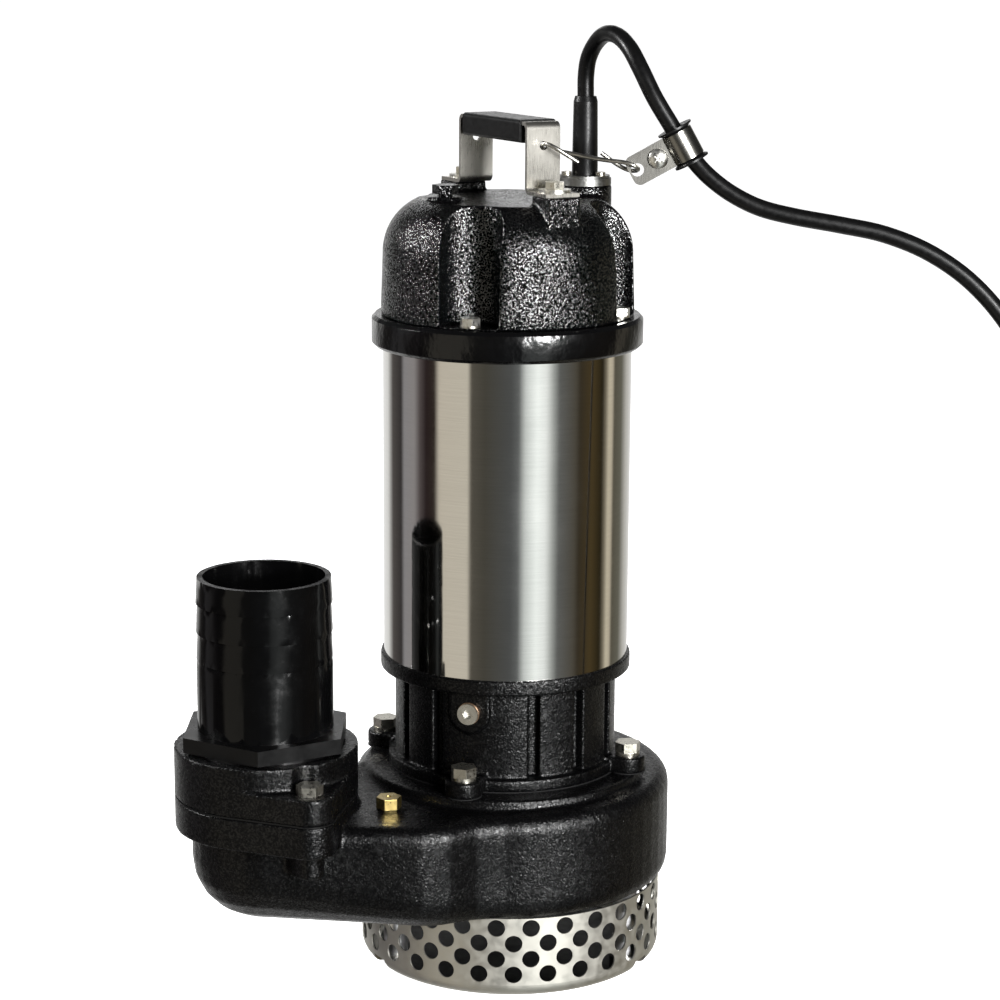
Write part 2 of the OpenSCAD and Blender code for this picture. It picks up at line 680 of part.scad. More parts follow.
// ---------------------------------------------------------------- discharge
module discharge_gasket() {
    color([0.15, 0.13, 0.12]) difference() {
        at_discharge(joint_z) two_bolt(gasket_t, gasket_t);
        at_discharge(joint_z - 1) cylinder(r = discharge_bore, h = 3);
        at_ears(joint_z - 1) cylinder(r = bolt_r + 0.4, h = 3);
    }
}
thread_r = 43.5;
spot_depth = 0.5;
module discharge_flange() {
    color([0.06, 0.06, 0.06]) difference() {
        at_discharge(joint_z + gasket_t)
            two_bolt(ear_top - joint_z - gasket_t, boss_flange_top - joint_z - gasket_t);
        at_discharge(joint_z) cylinder(r = discharge_bore, h = 30);
        at_discharge(122) cylinder(r = thread_r, h = 30);
        at_ears(joint_z) cylinder(r = bolt_r + 0.4, h = 20);
        at_ears(ear_top - spot_depth) cylinder(r = 9.6, h = 20);
    }
}
module discharge_bolts() {
    color([0.75, 0.74, 0.68]) at_ears(ear_top - spot_depth) hex_bolt(2 * bolt_r, 13, 5.5, 36);
}
hex_z = 148;
hex_h = 8.6;
tail_bore = 34;
barb_z = [196.7, 212.3, 228.6];
barb_step = 0.8;
// Length over which the plain part narrows below the first barb
barb_run = 3;
module hose_tail() {
    r = tail_d / 2;
    color([0.04, 0.04, 0.04]) at_discharge() difference() {
        union() {
            disc(thread_r, 126, hex_z + EPS);
            translate([0, 0, hex_z]) rotate(30) cylinder(r = hex_af / sqrt(3), h = hex_h, $fn = 6);
            turned(concat([[tail_bore - 1, hex_z + 1], [r, hex_z + 1], [r, barb_z[0] - barb_run]],
                [for (z = barb_z) each [[r - barb_step, z], [r, z]]],
                [[r - barb_step, tail_top], [tail_bore - 1, tail_top]]));
        }
        disc(tail_bore, 120, 260);
    }
}

// ---------------------------------------------------------------- cable, clip and hook
cable_r = cable_d / 2;
coil_centre = [392, -30];
coil_mid = 6 * cable_d;
coil_in = coil_mid - 2 * cable_d;
coil_out = coil_mid + 2 * cable_d;
// Centreline: up out of the boot, over the loop, down through the clip, out to the right,
// down to the floor and round to the coil's first turn
cable_route = [[43.7, 24.2, 500.5], [43.7, 24, 512], [45, 21, 522], [49, 14, 531], [54, 4.5, 536],
    [60, -7.5, 535.5], [66, -19, 529.5], [72, -27, 518.5], [79.5, -32, 503.5], [87.5, -34, 490.5],
    [95.5, -36, 478], [102.5, -38, 468.5], [111, -40, 460], [123, -42, 451.5], [138, -44, 444.5],
    [157, -46, 440], [181, -48, 436], [206, -50, 431], [231, -53, 421], [254, -57, 405],
    [274, -62, 382], [290, -68, 352], [301, -75, 316], [308, -83, 276], [313, -91, 234],
    [316, -99, 190], [318, -106, 146], [319, -111, 104], [320, -113, 66], [320, -111, 40],
    [320, -104, 22], [320, -91, 10], [320, -75, 5.5], [320.4, -52, 4.85], [320.75, -30, 4.85]];
// From the coil's last turn down to the plug
tail_route = [[463.25, -30, 33.4], [463, -50, 33], [462, -72, 30], [460.5, -94, 25], [459.5, -114, 20.5],
    [459, -134, 19]];
plug_mouth = [459, -134, 19];

function unit(v) = v / norm(v);
function tangent(p, i) = unit(p[min(i + 1, len(p) - 1)] - p[max(i - 1, 0)]);
// Carries a side direction along the route without twist
function carried(p, i, side) = i >= len(p) ? [] :
    let (t = tangent(p, i), w = unit(side - t * (side * t)))
    concat([[w, cross(t, w)]], carried(p, i + 1, w));
module tube(p, r, sides, side) {
    frames = carried(p, 0, side);
    n = len(p);
    polyhedron([for (i = [0:n - 1], k = [0:sides - 1]) let (a = 360 * k / sides)
            p[i] + r * (cos(a) * frames[i][0] + sin(a) * frames[i][1])],
        concat([[for (k = [0:sides - 1]) k]], [[for (k = [sides - 1:-1:0]) (n - 1) * sides + k]],
            [for (i = [0:n - 2], k = [0:sides - 1]) let (a = i * sides + k, b = i * sides + (k + 1) % sides)
                each [[a, a + sides, b + sides], [a, b + sides, b]]]));
}
module cable() {
    color([0.05, 0.05, 0.05]) {
        tube(cable_route, cable_r, 10, [0, 1, 0]);
        tube(tail_route, cable_r, 10, [1, 0, 0]);
    }
}
module cable_coil() {
    color([0.05, 0.05, 0.05]) translate([coil_centre[0], coil_centre[1], 0.1]) rotate_extrude()
        translate([coil_in, 0]) square([coil_out - coil_in, 4 * cable_d]);
}

clip_pos = [95.5, -36, 478];
clip_tilt = 29;
band_t = 1.2;
lining_t = 2.6;
band_r = cable_r + lining_t;
band_w = 16;
tab_w = 17;
clip_hole_x = -28.4;
clip_screw_x = -15.5;
module at_clip() { translate(clip_pos) rotate([0, -clip_tilt, 0]) children(); }
module rounded_tab(x0, x1, w, y, t) {
    translate([0, y + t, 0]) rotate([90, 0, 0]) linear_extrude(t) union() {
        translate([x1 + 4, -w / 2]) square([x0 - x1 - 4, w]);
        translate([x1, -w / 2 + 4]) square([5, w - 8]);
        for (s = [-1, 1]) translate([x1 + 4, s * (w / 2 - 4)]) circle(4, $fn = 32);
    }
}
module clip_band() {
    color([0.66, 0.65, 0.62]) at_clip() difference() {
        union() {
            ring(band_r + band_t, band_r, -band_w / 2, band_w / 2);
            rounded_tab(-band_r - 0.2, -33, tab_w, -band_t, band_t);
            rounded_tab(-band_r - 0.2, -21.5, tab_w, EPS, band_t);
        }
        translate([clip_screw_x, 5, 0]) rotate([90, 0, 0]) cylinder(r = 2.6, h = 10);
        translate([clip_hole_x, 5, 0]) rotate([90, 0, 0]) cylinder(r = 3.6, h = 10);
    }
}
module clip_lining() {
    flare = 2.6;
    color([0.05, 0.05, 0.05]) at_clip() difference() {
        turned([[cable_r + 0.3, -10], [band_r + flare, -10.6], [band_r + flare, -9.6], [band_r - 0.05, -8.2],
            [band_r - 0.05, 8.2], [band_r + flare, 9.6], [band_r + flare, 10.6], [cable_r + 0.3, 10]]);
        translate([-20, -0.4, -12]) cube([20, 0.8, 24]);
    }
}
module clip_screw() {
    color([0.74, 0.73, 0.7]) at_clip() translate([clip_screw_x, -band_t, 0]) rotate([90, 0, 0]) difference() {
        union() {
            cylinder(r = 5.4, h = 1.6);
            intersection() {
                cylinder(r = 5.4, h = 4);
                translate([0, 0, -4.2]) sphere(8);
            }
            translate([0, 0, -9]) cylinder(r = 2.5, h = 10);
        }
        for (a = [0, 90]) rotate(a + 20) translate([-2.6, -0.55, 1.9]) cube([5.2, 1.1, 3]);
    }
}
module clip_nut() {
    color([0.74, 0.73, 0.7]) at_clip() translate([clip_screw_x, band_t + EPS, 0]) rotate([-90, 0, 0])
        difference() {
            cylinder(r = 8 / sqrt(3), h = 4, $fn = 6);
            translate([0, 0, -1]) cylinder(r = 2.5, h = 6);
        }
}
// Bent wire: free end in front of the handle leg, through its hole, across, through the clip, free end
hook_route = [[38, -41, 468.6], [31, -42.2, 473], [25, -42, 476.6], [21, -39.5, 478.2], [19, -36, 477.6],
    [18, -32.5, 476.4], [18, -29, 475.2], [20.5, -26, 474.2], [26, -24.8, 473.4], [33, -26.6, 472.4],
    [40, -30, 471.2], [48, -34, 470], [56, -37.6, 469.2], [63, -40.2, 468.6], [68, -41.2, 467.2],
    [70.6, -39.4, 465.4], [70.9, -36.4, 464.2], [69.6, -33.2, 463.4], [66, -31, 463.6], [60, -30, 466.4],
    [51, -30, 472.8]];
module s_hook() { color([0.7, 0.7, 0.68]) tube(hook_route, 1.2, 10, [0, 0, 1]); }

plug_r = 18.5;
module at_plug() { translate(plug_mouth) rotate([90, 0, 0]) children(); }
module plug_body() {
    color([0.05, 0.05, 0.05]) at_plug() turned([[0, 0], [6.5, 0], [8.5, 26], [12, 30], [17, 36],
        [plug_r, 40], [plug_r, 64], [plug_r - 1.5, 66], [0, 66]]);
}
module plug_pins() {
    color([0.75, 0.62, 0.3]) at_plug() for (s = [-1, 1]) translate([s * 9.5, 0, 66]) {
        cylinder(r = 2.4, h = 17);
        translate([0, 0, 17 - EPS]) sphere(2.38);
    }
}

strainer();
strainer_posts();
strainer_screws();
suction_cover();
suction_screws();
volute_casing();
impeller();
impeller_nut();
shaft_key();
shaft();
seal_seat();
seal_face();
seal_spring();
seal_collar();
lip_seal();
bearing_bracket();
casing_gasket();
bracket_bolts();
spring_washers();
oil_plug();
oil_plug_washer();
lower_bearing_outer();
lower_bearing_inner();
lower_bearing_balls();
upper_bearing_outer();
upper_bearing_inner();
upper_bearing_balls();
wave_washer();
motor_sleeve();
stator_core();
stator_winding();
rotor_core();
rotor_end_rings();
upper_bracket();
motor_cover();
cover_bolts();
cover_plug();
handle_strip();
handle_grip();
handle_bolts();
handle_washers();
gland_plate();
gland_screws();
cable_boot();
air_vent_body();
air_vent_ball();
discharge_gasket();
discharge_flange();
discharge_bolts();
hose_tail();
cable();
cable_coil();
clip_band();
clip_lining();
clip_screw();
clip_nut();
s_hook();
plug_body();
plug_pins();
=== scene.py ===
"""Submersible sump pump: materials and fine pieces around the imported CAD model."""
import math

import bmesh
import bpy
from mathutils import Matrix, Vector


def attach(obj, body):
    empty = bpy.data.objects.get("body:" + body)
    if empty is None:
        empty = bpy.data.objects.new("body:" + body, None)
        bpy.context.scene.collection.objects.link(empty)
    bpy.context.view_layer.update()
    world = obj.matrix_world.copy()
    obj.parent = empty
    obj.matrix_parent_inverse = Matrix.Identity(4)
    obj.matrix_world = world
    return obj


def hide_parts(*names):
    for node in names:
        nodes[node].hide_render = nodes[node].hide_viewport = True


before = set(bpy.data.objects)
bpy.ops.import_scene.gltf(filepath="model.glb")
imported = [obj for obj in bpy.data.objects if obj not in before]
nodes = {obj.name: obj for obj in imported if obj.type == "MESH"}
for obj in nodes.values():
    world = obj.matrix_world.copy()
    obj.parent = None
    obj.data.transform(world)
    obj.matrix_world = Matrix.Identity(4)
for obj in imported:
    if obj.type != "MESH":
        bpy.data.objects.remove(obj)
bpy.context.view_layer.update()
scene = bpy.context.scene
MM = 0.001
MERGE_M = 2e-6


# ---------------------------------------------------------------- camera
CAMERA_PLACE = (-0.00364, -1.4748, 0.5925)
CAMERA_DIP = 12.32
CAMERA_ROLL = 0.34
CAMERA_LENS_MM = 94.0
SENSOR_MM = 36.0


def make_camera():
    cam = bpy.data.objects.new("camera", bpy.data.cameras.new("camera"))
    scene.collection.objects.link(cam)
    pitch = Matrix.Rotation(math.radians(90 - CAMERA_DIP), 4, "X")
    roll = Matrix.Rotation(math.radians(CAMERA_ROLL), 4, "Z")
    cam.matrix_world = Matrix.Translation(CAMERA_PLACE) @ pitch @ roll
    cam.data.lens = CAMERA_LENS_MM
    cam.data.sensor_width = SENSOR_MM
    cam.data.clip_start = 0.05
    cam.data.clip_end = 200.0
    scene.camera = cam


make_camera()


# ---------------------------------------------------------------- shader helpers
class Shader:
    """A node material built by short calls; an argument is a value or another node's output."""

    def __init__(self, name):
        self.mat = bpy.data.materials.new(name)
        self.mat.use_nodes = True
        self.tree = self.mat.node_tree
        self.bsdf = self.tree.nodes["Principled BSDF"]
        coord = self.tree.nodes.new("ShaderNodeTexCoord")
        self.place = coord.outputs["Object"]

    def put(self, node, inputs):
        for key, value in inputs.items():
            if isinstance(value, bpy.types.NodeSocket):
                self.tree.links.new(value, node.inputs[key])
            else:
                node.inputs[key].default_value = value
        return node

    def scaled(self, vector, scale):
        node = self.tree.nodes.new("ShaderNodeVectorMath")
        node.operation = "MULTIPLY"
        self.put(node, {0: vector, 1: scale})
        return node.outputs[0]

    def shifted(self, vector, offset):
        node = self.tree.nodes.new("ShaderNodeVectorMath")
        self.put(node, {0: vector, 1: offset})
        return node.outputs[0]

    def length(self, vector):
        node = self.tree.nodes.new("ShaderNodeVectorMath")
        node.operation = "LENGTH"
        self.put(node, {0: vector})
        return node.outputs["Value"]

    def axis(self, letter):
        node = self.tree.nodes.new("ShaderNodeSeparateXYZ")
        self.put(node, {0: self.place})
        return node.outputs[letter]

    def noise(self, size_mm, detail=2.0, rough=0.5, vector=None):
        node = self.tree.nodes.new("ShaderNodeTexNoise")
        self.put(node, {"Vector": vector or self.place, "Scale": 1 / (size_mm * MM), "Detail": detail,
                        "Roughness": rough})
        return node.outputs["Fac"]

    def span(self, value, low, high, to_low=0.0, to_high=1.0):
        node = self.tree.nodes.new("ShaderNodeMapRange")
        self.put(node, {"Value": value, "From Min": low, "From Max": high, "To Min": to_low,
                        "To Max": to_high})
        return node.outputs["Result"]

    def math(self, kind, a, b):
        node = self.tree.nodes.new("ShaderNodeMath")
        node.operation = kind
        self.put(node, {0: a, 1: b})
        return node.outputs[0]

    def mix(self, factor, a, b):
        node = self.tree.nodes.new("ShaderNodeMix")
        node.data_type = "RGBA"
        self.put(node, {0: factor, 6: a, 7: b})
        return node.outputs[2]

    def bump(self, height, strength, distance_mm, normal=None):
        node = self.tree.nodes.new("ShaderNodeBump")
        self.put(node, {"Height": height, "Strength": strength, "Distance": distance_mm * MM})
        if normal is not None:
            self.tree.links.new(normal, node.inputs["Normal"])
        return node.outputs["Normal"]

    def finish(self, **inputs):
        self.put(self.bsdf, {key.replace("_", " "): value for key, value in inputs.items()})
        return self.mat


def rgb(r, g, b):
    return (r, g, b, 1.0)


def shade(colour, share=1.0):
    """A colour's share, as a socket value."""
    return rgb(*[share * channel for channel in colour])


# ---------------------------------------------------------------- materials
BLACK_LOW = (0.0006, 0.0006, 0.0007)


def enamel(name, grain=0.78, depth=0.5, rough=0.19, dull=0.02, shine=1.0):
    """Gloss black enamel over the rough skin of a sand casting: bright flecks between dull grains."""
    s = Shader(name)
    swell = s.span(s.noise(3.0 * grain, 1.0), 0.0, 1.0, 0.0, 0.4)
    height = s.math("ADD", s.noise(grain, 1.5, 0.55), swell)
    patches = s.span(s.noise(40.0, 1.0), 0.35, 0.65, 0.6, 1.0)
    normal = s.bump(s.math("MULTIPLY", height, patches), 1.0, depth)
    stain = s.span(s.noise(30.0), 0.35, 0.65)
    colour = s.mix(stain, shade(BLACK_LOW), rgb(0.0012, 0.0012, 0.0013))
    flecks = s.span(s.noise(1.25 * grain, 1.0, 0.5), 0.47, 0.59, dull, shine)
    roughness = s.span(s.noise(4.0, 3.0), 0.3, 0.7, rough - 0.04, rough + 0.08)
    return s.finish(Base_Color=colour, Roughness=roughness, Normal=normal, Specular_IOR_Level=flecks)


def smooth_enamel(name):
    """Gloss black enamel on a turned ring, slightly wavy."""
    s = Shader(name)
    waves = s.bump(s.noise(9.0, 2.0, 0.5), 0.4, 1.0)
    normal = s.bump(s.noise(2.2, 2.0, 0.5), 0.3, 0.4, waves)
    colour = s.mix(s.noise(20.0), shade(BLACK_LOW), rgb(0.0012, 0.0012, 0.0014))
    roughness = s.span(s.noise(9.0, 3.0), 0.3, 0.7, 0.14, 0.22)
    return s.finish(Base_Color=colour, Roughness=roughness, Normal=normal, Specular_IOR_Level=0.34)


def brushed(name, colour, rough, grain):
    """Drawn or brushed stainless steel; grain is how many times finer the lines are along each axis."""
    s = Shader(name)
    lines = s.noise(25.0, 3.0, 0.65, s.scaled(s.place, grain))
    fine = s.noise(6.0, 2.0, 0.6, s.scaled(s.place, grain))
    smudge = s.span(s.noise(40.0, 3.0, 0.55), 0.45, 0.75, 0.0, 0.06)
    tint = s.mix(s.span(lines, 0.3, 0.7), shade(colour, 0.92), shade(colour))
    roughness = s.math("ADD", s.span(fine, 0.3, 0.7, rough - 0.03, rough + 0.04), smudge)
    normal = s.bump(lines, 0.1, 0.02)
    return s.finish(Base_Color=tint, Metallic=1.0, Roughness=roughness, Normal=normal)


def plated(name, colour, rough):
    """Zinc plated or machined small part."""
    s = Shader(name)
    tint = s.mix(s.span(s.noise(3.0, 4.0, 0.6), 0.35, 0.65), shade(colour, 0.8), shade(colour))
    roughness = s.span(s.noise(1.5, 3.0), 0.3, 0.7, rough - 0.06, rough + 0.12)
    normal = s.bump(s.noise(0.8, 2.0), 0.15, 0.05)
    return s.finish(Base_Color=tint, Metallic=1.0, Roughness=roughness, Normal=normal)


def rubber(name, grey=0.0025, rough=0.36):
    """Dull moulded or varnished material in a neutral grey."""
    s = Shader(name)
    colour = s.mix(s.noise(8.0, 3.0), rgb(grey, grey, grey), rgb(1.6 * grey, 1.6 * grey, 1.7 * grey))
    roughness = s.span(s.noise(2.5, 3.0), 0.3, 0.7, rough - 0.06, rough + 0.08)
    normal = s.bump(s.noise(0.7, 2.0), 0.12, 0.05)
    return s.finish(Base_Color=colour, Roughness=roughness, Normal=normal, Specular_IOR_Level=0.18)


def plastic(name, grey=0.0008, rough=0.12, matt_below_mm=156.8):
    """Moulded black plastic, glossy on the turned tail and matt on the hexagon under it."""
    s = Shader(name)
    colour = s.mix(s.noise(25.0, 2.0), rgb(grey, grey, grey), rgb(1.8 * grey, 1.8 * grey, 2.0 * grey))
    matt = s.span(s.axis("Z"), (matt_below_mm - 0.3) * MM, matt_below_mm * MM, 0.26, 0.0)
    smudge = s.span(s.noise(12.0, 4.0, 0.65), 0.35, 0.7, rough - 0.05, rough + 0.1)
    scuff = s.span(s.noise(5.0, 5.0, 0.75), 0.6, 0.72, 0.0, 0.12)
    normal = s.bump(s.noise(18.0, 2.0), 0.1, 0.3)
    roughness = s.math("ADD", s.math("ADD", smudge, scuff), matt)
    return s.finish(Base_Color=colour, Roughness=roughness, Normal=normal, Specular_IOR_Level=0.18)


def sieve(name, colour, wall_r_mm=87.6, middle_x_mm=3.7, corner_mm=9.5):
    """Pressed sheet, satin outside, round its lower corner included, with painted shade darkening the
    inside of the cup.
    """
    s = Shader(name)
    flat = s.scaled(s.shifted(s.place, (-middle_x_mm * MM, 0.0, 0.0)), (1.0, 1.0, 0.0))
    radius = s.length(flat)
    outside = s.span(radius, (wall_r_mm - 0.5) * MM, wall_r_mm * MM)
    low = s.span(s.axis("Z"), corner_mm * MM, (corner_mm - 1.0) * MM)
    corner_r_mm = wall_r_mm - corner_mm - 0.1
    corner = s.math("MULTIPLY", low, s.span(radius, (corner_r_mm - 1.0) * MM, corner_r_mm * MM))
    tint = s.mix(s.noise(7.0, 3.0), shade(colour, 0.9), shade(colour))
    # Painted shade: away from the outside wall and its lower corner, the inside of the cup is coloured
    # near black.
    tint = s.mix(s.math("MAXIMUM", outside, corner), rgb(0.05, 0.05, 0.05), tint)
    roughness = s.span(s.noise(5.0, 3.0), 0.3, 0.7, 0.42, 0.55)
    normal = s.bump(s.noise(0.6, 2.0), 0.15, 0.04)
    return s.finish(Base_Color=tint, Metallic=1.0, Roughness=roughness, Normal=normal)


def plain_metal(name, colour, rough):
    """Smooth bare metal."""
    s = Shader(name)
    tint = s.mix(s.noise(5.0, 3.0), shade(colour, 0.85), shade(colour))
    roughness = s.span(s.noise(3.0), 0.3, 0.7, rough - 0.04, rough + 0.06)
    return s.finish(Base_Color=tint, Metallic=1.0, Roughness=roughness)


RINGS = (1.0, 1.0, 60.0)
UPRIGHT = (30.0, 30.0, 1.0)
MATERIALS = {
    "casting": enamel("casting_enamel"),
    "volute": enamel("volute_enamel", 0.9, 0.5, 0.26, 0.12, 0.34),
    "ring": smooth_enamel("ring_enamel"),
    "sleeve": brushed("sleeve_steel", (0.66, 0.65, 0.63), 0.06, RINGS),
    "sheet": sieve("sheet_steel", (0.52, 0.507, 0.458)),
    "wire": plain_metal("hook_wire", (0.36, 0.35, 0.32), 0.34),
    "strip": brushed("strip_steel", (0.62, 0.60, 0.55), 0.27, UPRIGHT),
    "clip": brushed("clip_steel", (0.19, 0.185, 0.17), 0.24, UPRIGHT),
    "zinc": plated("zinc_plate", (0.50, 0.48, 0.42), 0.3),
    "bright_zinc": plated("bright_plate", (0.60, 0.59, 0.55), 0.3),
    "brass": plated("vent_brass", (0.38, 0.29, 0.11), 0.3),
    "copper": plated("copper", (0.45, 0.30, 0.2), 0.35),
    "rubber": rubber("black_rubber"),
    "sheath": rubber("cable_sheath", 0.0015, 0.34),
    "plastic": plastic("black_plastic"),
    "gland": plated("gland_metal", (0.20, 0.20, 0.19), 0.38),
    "ground": plain_metal("ground_steel", (0.68, 0.68, 0.68), 0.2),
    "lamination": plain_metal("lamination_steel", (0.3, 0.3, 0.32), 0.45),
    "light_alloy": plain_metal("light_alloy", (0.75, 0.75, 0.76), 0.4),
    "cast_dark": enamel("dark_casting", 2.0, 0.4, 0.5, 0.2, 0.5),
    "ceramic": rubber("ceramic", 0.5, 0.25),
    "winding": rubber("winding_varnish", 0.12, 0.3),
    "fibre": rubber("gasket_fibre", 0.004, 0.7),
}
LOOKS = {
    "casting": ["motor_cover", "cover_plug"],
    "volute": ["volute_casing", "bearing_bracket", "discharge_flange", "suction_cover"],
    "ring": ["upper_bracket"],
    "sleeve": ["motor_sleeve"],
    "sheet": ["strainer"],
    "strip": ["handle_strip"],
    "clip": ["clip_band"],
    "zinc": ["bracket_bolts", "discharge_bolts", "handle_bolts", "gland_screws", "clip_nut",
             "spring_washers"],
    "bright_zinc": ["oil_plug", "cover_bolts", "handle_washers", "strainer_screws", "suction_screws",
                    "clip_screw", "impeller_nut"],
    "wire": ["s_hook"],
    "brass": ["air_vent_body", "plug_pins"],
    "copper": ["oil_plug_washer"],
    "rubber": ["handle_grip", "cable_boot", "clip_lining", "plug_body", "lip_seal", "discharge_gasket"],
    "sheath": ["cable", "cable_coil"],
    "plastic": ["hose_tail"],
    "gland": ["gland_plate"],
    "ground": ["shaft", "shaft_key", "seal_spring", "seal_collar", "wave_washer", "air_vent_ball",
               "lower_bearing_outer", "lower_bearing_inner", "lower_bearing_balls",
               "upper_bearing_outer", "upper_bearing_inner", "upper_bearing_balls"],
    "lamination": ["stator_core", "rotor_core"],
    "light_alloy": ["rotor_end_rings", "strainer_posts"],
    "cast_dark": ["impeller"],
    "ceramic": ["seal_seat", "seal_face"],
    "winding": ["stator_winding"],
    "fibre": ["casing_gasket"],
}


def dress(obj, look):
    obj.data.materials.clear()
    obj.data.materials.append(MATERIALS[look])


for look, names in LOOKS.items():
    for name in names:
        dress(nodes[name], look)


# ---------------------------------------------------------------- rounded CAD edges
ROUND_FROM_DEG = 30.0
EDGE_WIDTHS_MM = {"upper_bracket": 1.2, "bracket_bolts": 0.3, "discharge_bolts": 0.3, "cover_bolts": 0.3,
                  "handle_bolts": 0.3, "air_vent_body": 0.3, "cover_plug": 0.3, "hose_tail": 0.5}


def add_weld(obj):
    weld = obj.modifiers.new("weld", "WELD")
    weld.merge_threshold = MERGE_M


def round_edges(name, width_mm):
    """Rounds a CAD node's sharp edges with modifiers, which leave its own mesh alone."""
    obj = nodes[name]
    add_weld(obj)
    bevel = obj.modifiers.new("bevel", "BEVEL")
    bevel.width = width_mm * MM
    bevel.segments = 2
    bevel.limit_method = "ANGLE"
    bevel.angle_limit = math.radians(ROUND_FROM_DEG)
    bevel.harden_normals = True
    bevel.use_clamp_overlap = True


for name, width in EDGE_WIDTHS_MM.items():
    round_edges(name, width)


# ---------------------------------------------------------------- castings with soft edges
# Voxel size in millimetres, rounds of smoothing and look of each casting
CASTINGS = {"volute_casing": (1.0, 14, "volute"), "motor_cover": (0.9, 6, "casting"),
            "bearing_bracket": (0.9, 4, "volute"), "discharge_flange": (0.9, 5, "volute")}


def cast_piece(name, voxel_mm, rounds, look):
    """A smooth-edged copy of a cast CAD node: remeshed finely, then relaxed."""
    copy = bpy.data.objects.new(name + "_work", nodes[name].data.copy())
    scene.collection.objects.link(copy)
    add_weld(copy)
    remesh = copy.modifiers.new("remesh", "REMESH")
    remesh.mode = "VOXEL"
    remesh.voxel_size = voxel_mm * MM
    relax = copy.modifiers.new("relax", "SMOOTH")
    relax.factor = 0.5
    relax.iterations = rounds
    graph = bpy.context.evaluated_depsgraph_get()
    mesh = bpy.data.meshes.new_from_object(copy.evaluated_get(graph))
    bpy.data.objects.remove(copy)
    mesh.name = name + "_cast"
    for face in mesh.polygons:
        face.use_smooth = True
    piece = bpy.data.objects.new(name + "_cast", mesh)
    scene.collection.objects.link(piece)
    dress(piece, look)
    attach(piece, "pump")
    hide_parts(name)


for name, (voxel, rounds, look) in CASTINGS.items():
    cast_piece(name, voxel, rounds, look)


# ---------------------------------------------------------------- supply cable
# The route's points in millimetres, from the gland over the loop and through the clip to the floor
CABLE_D = 9.5
ROUTE = [(43.7, 24.2, 500.5), (43.7, 24, 512), (45, 21, 522), (49, 14, 531), (54, 4.5, 536),
         (60, -7.5, 535.5), (66, -19, 529.5), (72, -27, 518.5), (79.5, -32, 503.5), (87.5, -34, 490.5),
         (95.5, -36, 478), (102.5, -38, 468.5), (111, -40, 460), (123, -42, 451.5), (138, -44, 444.5),
         (157, -46, 440), (181, -48, 436), (206, -50, 431), (231, -53, 421), (254, -57, 405),
         (274, -62, 382), (290, -68, 352), (301, -75, 316), (308, -83, 276), (313, -91, 234),
         (316, -99, 190), (318, -106, 146), (319, -111, 104), (320, -113, 66), (320, -111, 40),
         (320, -104, 22), (320, -91, 10), (320, -75, 5.5), (320.4, -52, 4.85), (320.75, -30, 4.85)]
# From the coil's last turn to the plug
TAIL = [(463.25, -30, 33.4), (463, -50, 33), (462, -72, 30), (460.5, -94, 25), (459.5, -114, 20.5),
        (459, -134, 19)]
COIL_CENTRE = (392.0, -30.0)
COIL_R = 6 * CABLE_D
COIL_LOW = 4.85
COIL_LAYERS = 4
LAYER_TURNS = 3
TURN_POINTS = 48
LINE_STEPS = 6


def coil_points():
    """Turns wound inward, then outward, layer on layer, with half a turn's climb between layers."""
    outer, inner = COIL_R + LAYER_TURNS * CABLE_D / 2, COIL_R - LAYER_TURNS * CABLE_D / 2
    points, angle = [], 180.0
    step = 360.0 / TURN_POINTS
    count = LAYER_TURNS * TURN_POINTS
    climb = TURN_POINTS // 2
    for layer in range(COIL_LAYERS):
        start, end = (outer, inner) if layer % 2 == 0 else (inner, outer)
        for i in range(count):
            radius = start + (end - start) * i / count
            points.append((angle - i * step, radius, COIL_LOW + layer * CABLE_D))
        angle -= count * step
        if layer == COIL_LAYERS - 1:
            break
        for i in range(climb):
            share = i / climb
            height = COIL_LOW + (layer + share * share * (3 - 2 * share)) * CABLE_D
            points.append((angle - i * step, end, height))
        angle -= climb * step
    return [Vector((COIL_CENTRE[0] + r * math.cos(math.radians(a)),
                    COIL_CENTRE[1] + r * math.sin(math.radians(a)), z)) for a, r, z in points]


def smooth_line(points):
    """A smooth line of short steps through the given points."""
    pts = [Vector(p) for p in points]
    out = []
    for i in range(len(pts) - 1):
        before = pts[max(i - 1, 0)]
        after = pts[min(i + 2, len(pts) - 1)]
        a, b = pts[i], pts[i + 1]
        reach = (b - a).length
        leave = (b - before).normalized() * reach
        arrive = (after - a).normalized() * reach
        for k in range(LINE_STEPS):
            t = k / LINE_STEPS
            t2, t3 = t * t, t * t * t
            out.append(a * (2 * t3 - 3 * t2 + 1) + leave * (t3 - 2 * t2 + t)
                       + b * (3 * t2 - 2 * t3) + arrive * (t3 - t2))
    out.append(pts[-1])
    return out


def curve_piece(name, points_mm, radius_mm, look):
    """A round wire or cable along a line of points."""
    data = bpy.data.curves.new(name, "CURVE")
    data.dimensions = "3D"
    spline = data.splines.new("POLY")
    spline.points.add(len(points_mm) - 1)
    for target, p in zip(spline.points, points_mm):
        target.co = (p[0] * MM, p[1] * MM, p[2] * MM, 1.0)
    spline.use_smooth = True
    data.bevel_depth = radius_mm * MM
    data.bevel_resolution = 6
    data.use_fill_caps = True
    data.materials.append(MATERIALS[look])
    obj = bpy.data.objects.new(name, data)
    scene.collection.objects.link(obj)
    return obj


cable_line = smooth_line(ROUTE)[:-1] + coil_points() + smooth_line(TAIL)
cable = curve_piece("supply_cable", cable_line, CABLE_D / 2, "sheath")
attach(cable, "pump")
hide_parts("cable", "cable_coil")


